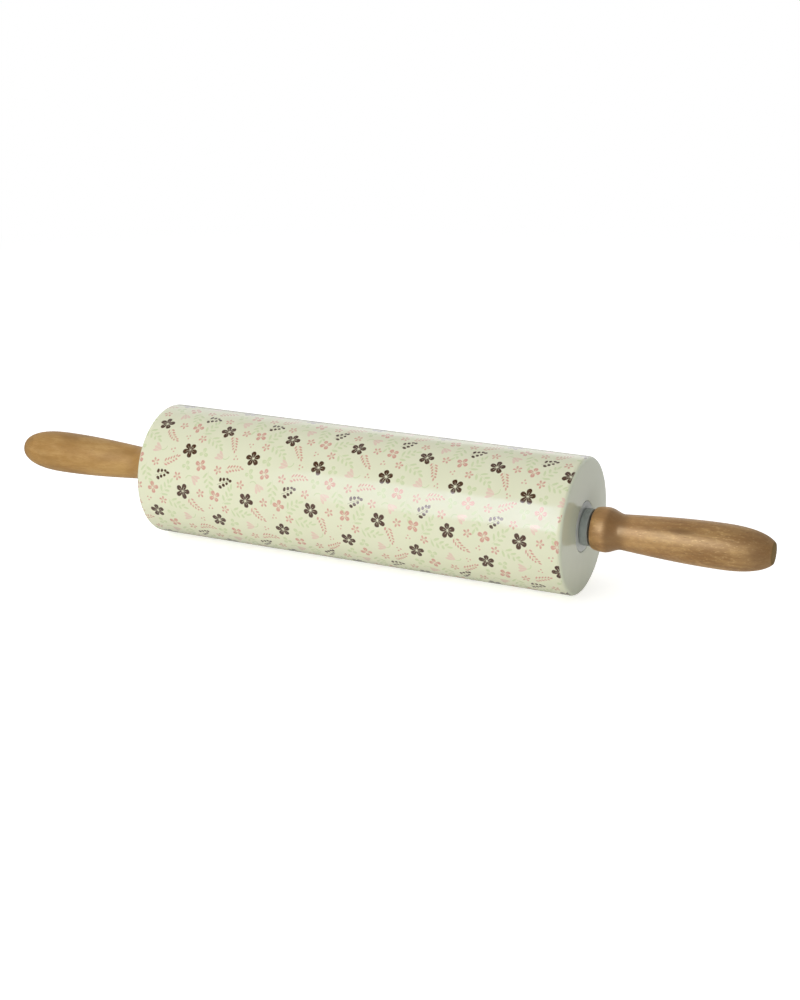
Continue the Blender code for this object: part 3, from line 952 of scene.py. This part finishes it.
print("finishes")
glaze = glazeFinish()
plastic = plasticFinish()
woods = {
    "left": woodFinish("leftHandleWood", {
        "light": paint(194, 156, 97), "deep": paint(178, 138, 78), "late": paint(154, 110, 52),
        # the oiled colour also serves as painted shade on the tip and in the hollow
        "pore": paint(108, 70, 32), "fleck": paint(214, 176, 112), "oilAndShade": paint(126, 90, 44),
        # the end grain colour also carries painted shade
        "warm": paint(190, 150, 90), "endGrainAndShade": paint(110, 84, 42),
        "poreShare": 0.2, "fleckShare": 0.12, "grainShare": 0.14,
        "sheen": 0.4, "glow": (0.6, 0.544, 0.65, 1), "bend": 1.5, "polish": 0.46,
        "pith": (34, -22), "ringWidth": 3.6, "shift": (17, 4, 9), "lean": (0, 0.04, 0.03),
        # the tip's darkening is partly oil and partly painted shade; the hollow's is painted shade
        "tipStart": 205, "tipEnd": 216, "tipOilAndShade": 0.55, "patchShade": 0.3, "hollowPaintedShade": 0.2,
        "stain": (-209, -5, 6), "stainSize": (5, 3.5, 3), "stainShade": 0.4}),
    "right": woodFinish("rightHandleWood", {
        "light": paint(190, 148, 89), "deep": paint(152, 108, 56), "late": paint(130, 85, 40),
        # the oiled colour also serves as painted shade on the tip and in the hollow
        "pore": paint(96, 62, 28), "fleck": paint(226, 190, 132), "oilAndShade": paint(120, 82, 42),
        # the end grain colour also carries painted shade
        "warm": paint(206, 154, 104), "endGrainAndShade": paint(126, 99, 50),
        "poreShare": 0.5, "fleckShare": 0.4, "grainShare": 0.3,
        "sheen": 1.0, "glow": (0.67, 0.56, 0.38, 1), "bend": 2.0, "polish": 0.4,
        "pith": (-30, 26), "ringWidth": 3.1, "shift": (0, 0, 0), "lean": (0, 0.03, -0.05),
        # the tip's darkening is partly oil and partly painted shade; the hollow's is painted shade
        "tipStart": 196, "tipEnd": 212, "tipOilAndShade": 0.64, "patchShade": 0.45, "hollowPaintedShade": 0.7,
        "stain": (172, -8, 7), "stainSize": (12, 3, 2.6), "stainShade": 0.7}),
}
finishes = {
    "soft": dullFinish("sealRubber", paint(62, 62, 60), paint(48, 48, 47), 2.5, 0.7),
    "fibre": dullFinish("washerFibre", paint(72, 61, 44), paint(52, 44, 32), 3.5, 0.8),
    "zinc": turnedMetalFinish("collarSteel", paint(172, 179, 174), paint(154, 161, 157), 0.6, 0.25),
    "brass": turnedMetalFinish("insertBrass", paint(196, 166, 96), paint(172, 140, 76), 0.34),
    "steel": turnedMetalFinish("axleSteel", paint(178, 179, 181), paint(150, 151, 154), 0.3),
}

print("barrel")
makeBarrel(glaze)
print("axle")
makeAxle(finishes["steel"])
for label, side in (("left", -1), ("right", 1)):
    print(label, "end: bush, fittings and handle")
    makeBush(label, side, plastic)
    makeFittings(label, side, finishes)
    makeHandle(label, side, woods[label])


# Studio: a pale floor, a white world, and a softbox, a reflection card and a fill

studio = {
    "floorSize": 12.0,
    "floorColour": (0.84, 0.84, 0.83, 1),
    "floorGlow": 0.42,  # brightens the floor for the camera alone
    "floorShine": 0.19,  # what the floor gives the object's underside of its own
    "whiteOut": (0.35, 1.1),  # metres from the middle over which the camera sees it turn plain white
    "ambient": 0.48,
    "overhead": (0.1, 0.9, 1.0, 2.1),  # more of the ambient light comes from above
    "dimSide": (-0.1, 0.7, 1.0, 0.2),  # and less from the right, where the studio is dark
}

# what shows in the glaze: the floor by its place in metres, and the wall by direction
mirrorLook = {
    "inFront": 0.15,  # how bright the floor shows in front of the object
    "behind": 0.45,  # behind it
    "white": 0.2,  # and how much whiter behind it on the right
    "frontToBack": (-0.03, 0.03), "leftToRight": (0.1, 0.14),
    "wallBehind": (-0.2, 0.4, 0.12, 1.0), "wallHeight": (0.3, 0.75, 0.9, 0.27),
    "strip": 0.42,  # a strip of brighter wall low behind the object
    "stripFoot": (0.08, 0.16), "stripTop": (0.4, 0.36),
    "stripBehind": (0.2, 0.5), "stripRight": (-0.54, -0.38),
}

# size, distance, direction, roll and power of each lamp; only the card shows in the glaze
lamps = {
    "softbox": {"size": (0.64, 0.74), "distance": 1.2, "azimuth": -17.6, "elevation": 31.0, "roll": 0.0,
                "power": 3.35, "colour": (1.0, 1.0, 1.0), "fade": (0.7, 1.4), "lights": True},
    "card": {"size": (0.61, 0.83), "distance": 1.15, "azimuth": -17.6, "elevation": 21.8, "roll": 12.0,
             "power": 4.45, "colour": (1.0, 1.0, 1.0), "fade": (0.65, 1.5), "lights": False},
    "fill": {"size": (1.3, 0.3), "distance": 1.6, "azimuth": 11.0, "elevation": 6.0, "roll": 0.0,
             "power": 3.8, "colour": (1.0, 0.98, 0.95), "fade": (1.0, 1.0), "lights": True},
}


def rayKinds(tree):
    # 1 for what the camera sees straight, in a reflection, and through glass
    path = addNode(tree, "ShaderNodeLightPath")
    return [Wire(tree, path.outputs[name]) for name in
            ("Is Camera Ray", "Is Glossy Ray", "Is Transmission Ray")]


def makeFloor():
    half = studio["floorSize"] / 2
    mesh = bpy.data.meshes.new("floor")
    mesh.from_pydata([(-half, -half, 0), (half, -half, 0), (half, half, 0), (-half, half, 0)], [],
                     [(0, 1, 2, 3)])
    floor = bpy.data.objects.new("floor", mesh)
    bpy.context.scene.collection.objects.link(floor)
    mat = bpy.data.materials.new("paleFloor")
    mat.use_nodes = True
    tree = mat.node_tree
    tree.nodes.clear()
    camera, glossy, _ = rayKinds(tree)
    x, y, _ = split(wireOf(tree, "ShaderNodeTexCoord", output="Object"))
    away = hypotenuse(x, y).ramp(*studio["whiteOut"])
    behind = y.ramp(*mirrorLook["frontToBack"])
    right = x.ramp(*mirrorLook["leftToRight"])
    white = largest([camera * away, glossy * behind * right * mirrorLook["white"]])
    dim = largest([(1 - behind) * (1 - mirrorLook["inFront"]),
                   behind * (1 - right) * (1 - mirrorLook["behind"])]) * glossy
    colour = mixColour(tree, dim, studio["floorColour"], (0, 0, 0, 1))
    matt = wireOf(tree, "ShaderNodeBsdfDiffuse", {"Color": colour})
    strength = camera * studio["floorGlow"] + studio["floorShine"]
    glow = wireOf(tree, "ShaderNodeEmission", {"Strength": strength})
    lit = wireOf(tree, "ShaderNodeAddShader", {0: matt, 1: glow})
    sweep = wireOf(tree, "ShaderNodeEmission", {"Strength": 1.0})
    shader = wireOf(tree, "ShaderNodeMixShader", {0: white, 1: lit, 2: sweep})
    addNode(tree, "ShaderNodeOutputMaterial", {"Surface": shader})
    mesh.materials.append(mat)


def makeWorld():
    look = mirrorLook
    world = bpy.data.worlds.new("studioWorld")
    world.use_nodes = True
    tree = world.node_tree
    tree.nodes.clear()
    right, behind, height = split(wireOf(tree, "ShaderNodeTexCoord", output="Generated"))
    wall = behind.ramp(*look["wallBehind"]) * height.ramp(*look["wallHeight"])
    strip = height.ramp(*look["stripFoot"]) * height.ramp(*look["stripTop"])
    strip = strip * behind.ramp(*look["stripBehind"]) * right.ramp(*look["stripRight"])
    backdrop = wall + strip * look["strip"]
    ambient = height.ramp(*studio["overhead"]) * right.ramp(*studio["dimSide"]) * studio["ambient"]
    kinds = rayKinds(tree)
    camera, seen = kinds[0], largest(kinds)
    strength = camera + (seen - camera) * backdrop + (1 - seen) * ambient
    shader = wireOf(tree, "ShaderNodeBackground", {"Color": (1, 1, 1, 1), "Strength": strength})
    addNode(tree, "ShaderNodeOutputWorld", {"Surface": shader})
    bpy.context.scene.world = world


def directionTo(azimuth, elevation):
    # the direction from the object towards a viewer; azimuth 0 is -Y and grows towards +X
    a, e = radians(azimuth), radians(elevation)
    return Vector((cos(e) * sin(a), -cos(e) * cos(a), sin(e)))


def makeLamp(name, look):
    data = bpy.data.lights.new(name, "AREA")
    data.shape = "RECTANGLE"
    data.size, data.size_y = look["size"]
    data.energy = look["power"]
    data.color = look["colour"]
    lamp = bpy.data.objects.new(name, data)
    bpy.context.scene.collection.objects.link(lamp)
    out = directionTo(look["azimuth"], look["elevation"])
    lamp.location = Vector((0, 0, axisHeight)) + out * look["distance"]
    lamp.rotation_mode = "QUATERNION"
    lamp.rotation_quaternion = Quaternion(out, radians(look["roll"])) @ out.to_track_quat("Z", "Y")
    lamp.visible_glossy = not look["lights"]
    lamp.visible_diffuse = look["lights"]
    data.use_nodes = True
    tree = data.node_tree
    tree.nodes.clear()
    along = split(wireOf(tree, "ShaderNodeNewGeometry", output="Parametric"))[0]
    shader = wireOf(tree, "ShaderNodeEmission", {"Strength": along.ramp(0, 1, *look["fade"])})
    addNode(tree, "ShaderNodeOutputLight", {"Surface": shader})


def makeCamera():
    view = {"azimuth": 25.03, "elevation": 17.91, "distance": 0.912, "lens": 63.25,
            "target": Vector((0.01904, 0, axisHeight))}
    data = bpy.data.cameras.new("camera")
    data.sensor_width = 36
    data.lens = view["lens"]
    camera = bpy.data.objects.new("camera", data)
    bpy.context.scene.collection.objects.link(camera)
    out = directionTo(view["azimuth"], view["elevation"])
    camera.location = view["target"] + out * view["distance"]
    camera.rotation_mode = "QUATERNION"
    camera.rotation_quaternion = out.to_track_quat("Z", "Y")
    bpy.context.scene.camera = camera


print("studio")
makeFloor()
makeWorld()
for name, look in lamps.items():
    makeLamp(name, look)
makeCamera()
bpy.context.scene.view_settings.view_transform = "Standard"
